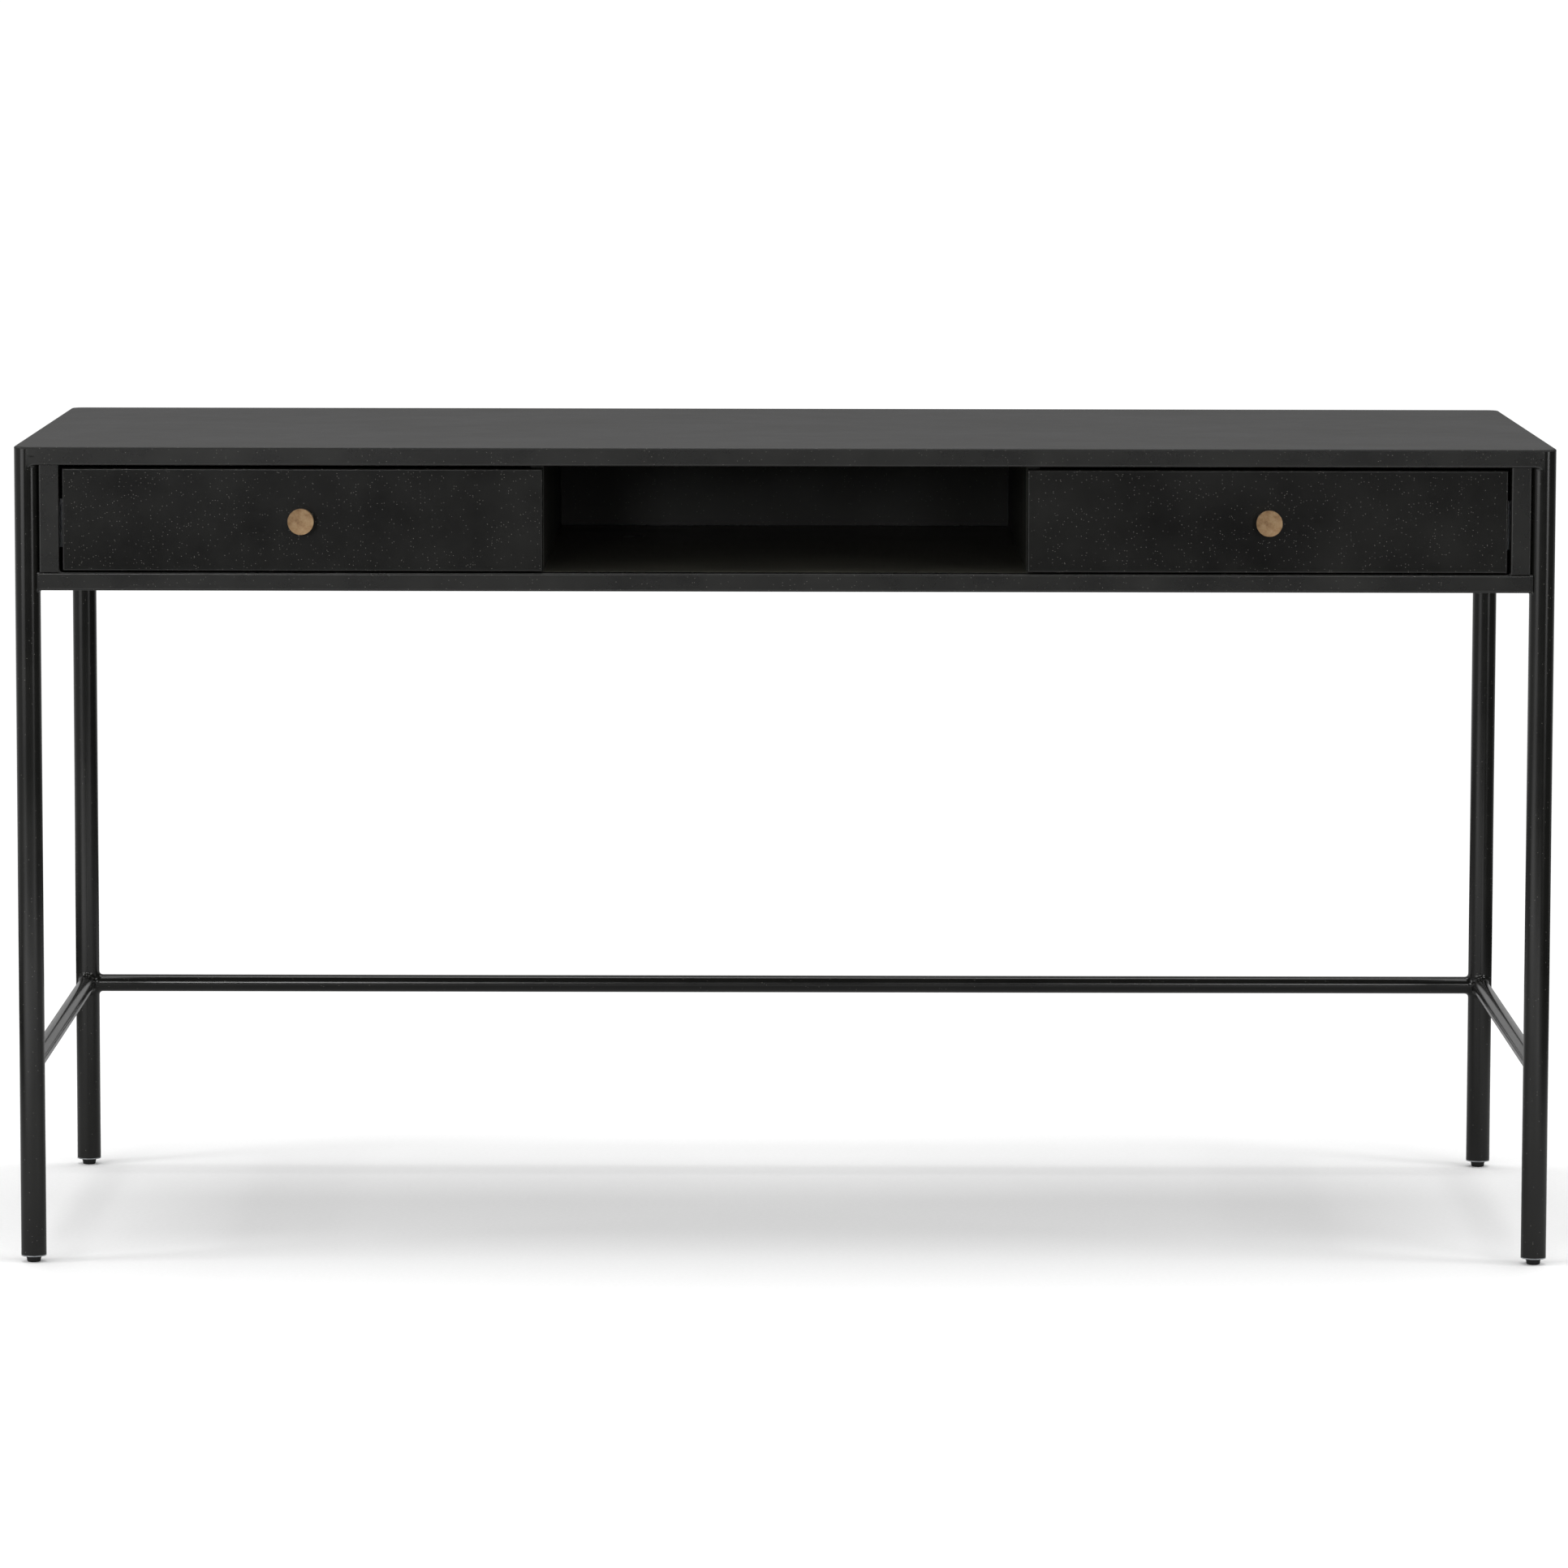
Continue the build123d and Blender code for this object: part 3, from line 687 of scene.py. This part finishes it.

# %% [markdown]
# ## The studio
# Black paint is seen by what it reflects, so the studio is built for reflections. The floor is a
# sheet of white paper that fades to pure white before its edge. The desk sees a duller sheet than the
# camera does, except for a patch in front that glows for reflections only. This is a painted
# reflection that the lower legs mirror.

# %% Floor
FLOOR_SIZE = 5.0
FADE_FROM = 1.25
FADE_TO = 2.2
TOOTH = 4 * MM
FRONT_GLOW = 1.6          # painted reflection: a glow on the floor in front of the desk that only reflections see, mirrored in the lower legs
GLOW_FROM_Y = -0.5
GLOW_FULL_Y = -1.2
GLOW_FULL_X = 1.1
GLOW_END_X = 1.6
BOUNCE = "#a4a4a4"        # the paper's colour as the desk sees it, which keeps the tubes black
SEEN_WHITE = 1.05         # a little over white, so that the background has no grey in it


def paper_white():
    material, tree, place = new_material("matt_white_paper_floor")
    tooth = node(tree, "ShaderNodeTexNoise", Vector=place, Scale=1 / TOOTH, Detail=2.0).outputs["Fac"]
    colour = ramp(tree, tooth, (0.3, "#f4f4f4"), (0.7, "#f7f7f7"))
    ray = node(tree, "ShaderNodeLightPath")
    direct = ray.outputs["Is Camera Ray"]
    dulled = node(tree, "ShaderNodeMix", {"data_type": "RGBA"}, _0=direct, _6=linear(BOUNCE),
                  _7=colour).outputs[2]
    paper = node(tree, "ShaderNodeBsdfPrincipled", Base_Color=dulled, Roughness=0.95,
                 Specular_IOR_Level=0.1)
    far = node(tree, "ShaderNodeVectorMath", {"operation": "LENGTH"}, _0=place).outputs["Value"]
    fade = node(tree, "ShaderNodeMapRange", {"interpolation_type": "SMOOTHSTEP"}, Value=far,
                From_Min=FADE_FROM, From_Max=FADE_TO).outputs["Result"]
    # Painted reflection: a glow on the paper in front of the desk, seen only by glossy rays.
    spot = node(tree, "ShaderNodeSeparateXYZ", Vector=place)
    ahead = node(tree, "ShaderNodeMapRange", Value=spot.outputs["Y"], From_Min=GLOW_FROM_Y,
                 From_Max=GLOW_FULL_Y, To_Max=FRONT_GLOW).outputs["Result"]
    not_right = node(tree, "ShaderNodeMapRange", Value=spot.outputs["X"], From_Min=GLOW_END_X,
                     From_Max=GLOW_FULL_X).outputs["Result"]
    sheen = node(tree, "ShaderNodeMath", {"operation": "MULTIPLY"}, _0=ahead, _1=not_right).outputs[0]
    mirrored = node(tree, "ShaderNodeMath", {"operation": "MULTIPLY"}, _0=sheen,
                    _1=ray.outputs["Is Glossy Ray"]).outputs[0]
    glow = node(tree, "ShaderNodeMath", {"operation": "MULTIPLY_ADD"}, _0=direct, _1=SEEN_WHITE,
                _2=mirrored).outputs[0]
    bare_white = node(tree, "ShaderNodeEmission", Color=linear("#ffffff"), Strength=glow)
    mixed = node(tree, "ShaderNodeMixShader", Fac=fade, _1=paper.outputs[0], _2=bare_white.outputs[0])
    node(tree, "ShaderNodeOutputMaterial", Surface=mixed.outputs[0])
    return material


bpy.ops.mesh.primitive_plane_add(size=FLOOR_SIZE, location=(0, 0, 0))
floor = bpy.context.object
floor.name = "floor"
floor.data.materials.append(paper_white())


# %% [markdown]
# Wide dim screens at the front left and right draw a stripe down each tube, two narrow strips beside
# the camera run along the stretchers and rails, and the room between them is dark, which keeps the
# paint black. A soft box overhead makes the shadow under the desk, and one on each side adds a faint
# one at each foot.

# %% Soft boxes
SCREEN_LEFT = 64.0
SCREEN_RIGHT = 58.0
STRIP_LEFT = 31.0
STRIP_RIGHT = 18.0
OVERHEAD = 75.0
SIDE_LEFT = 14.0
SIDE_RIGHT = 12.0


def soft_box(name, place, target, size, power):
    bpy.ops.object.light_add(type="AREA", location=place)
    lamp = bpy.context.object
    lamp.name = name
    lamp.data.shape = "RECTANGLE"
    lamp.data.size, lamp.data.size_y = size
    lamp.data.energy = power
    lamp.rotation_mode = "QUATERNION"
    lamp.rotation_quaternion = (Vector(target) - Vector(place)).to_track_quat("-Z", "Y")
    return lamp


soft_box("screen_left", (-4.2, -4.6, 1.7), (0, 0, 0.7), (3.2, 3.2), SCREEN_LEFT)
soft_box("screen_right", (4.5, -4.7, 1.7), (0, 0, 0.7), (1.7, 3.2), SCREEN_RIGHT)
soft_box("strip_left", (-1.05, -5.9, 1.8), (0, 0, 0.4), (0.6, 1.4), STRIP_LEFT)
soft_box("strip_right", (1.05, -5.9, 1.8), (0, 0, 0.4), (0.6, 1.4), STRIP_RIGHT)
soft_box("overhead", (0, 0.1, 3.6), (0, 0, 0), (3.0, 2.4), OVERHEAD)
soft_box("side_left", (-2.6, -0.7, 1.8), (0, 0, 0), (0.6, 0.6), SIDE_LEFT)
soft_box("side_right", (2.6, -0.7, 1.8), (0, 0, 0), (0.6, 0.6), SIDE_RIGHT)

# %% [markdown]
# The world does three jobs at once. Seen directly it is plain white. Matt surfaces get an even light
# from it. Glossy ones see a dark room, with a glow at the back that lifts the top, and a weaker one
# on the left.

# %% World
EVEN_LIGHT = 0.75
ROOM = 0.05
BACK_GLOW = 0.43
LEFT_GLOW = 0.3
world = bpy.data.worlds.new("white_studio")
world.use_nodes = True
world.cycles.sampling_method = "NONE"
bpy.context.scene.world = world
tree = world.node_tree
tree.nodes.clear()
direction = node(tree, "ShaderNodeTexCoord").outputs["Generated"]
facing = node(tree, "ShaderNodeSeparateXYZ", Vector=direction)
back = node(tree, "ShaderNodeMapRange", {"interpolation_type": "SMOOTHSTEP"}, Value=facing.outputs["Y"],
            From_Min=0.2, From_Max=0.95, To_Max=BACK_GLOW).outputs["Result"]
left = node(tree, "ShaderNodeMapRange", {"interpolation_type": "SMOOTHSTEP"}, Value=facing.outputs["X"],
            From_Min=-0.25, From_Max=-0.8, To_Max=LEFT_GLOW).outputs["Result"]
glows = node(tree, "ShaderNodeMath", {"operation": "ADD"}, _0=back, _1=left).outputs[0]
seen = node(tree, "ShaderNodeMath", {"operation": "ADD"}, _0=glows, _1=ROOM).outputs[0]
ray = node(tree, "ShaderNodeLightPath")
matt_or_glossy = node(tree, "ShaderNodeMix", _0=ray.outputs["Is Glossy Ray"], _2=EVEN_LIGHT,
                      _3=seen).outputs[0]
strength = node(tree, "ShaderNodeMix", _0=ray.outputs["Is Camera Ray"], _2=matt_or_glossy,
                _3=SEEN_WHITE).outputs[0]
lit = node(tree, "ShaderNodeBackground", Color=linear("#ffffff"), Strength=strength)
node(tree, "ShaderNodeOutputWorld", Surface=lit.outputs[0])
bpy.context.scene.view_settings.view_transform = "Standard"
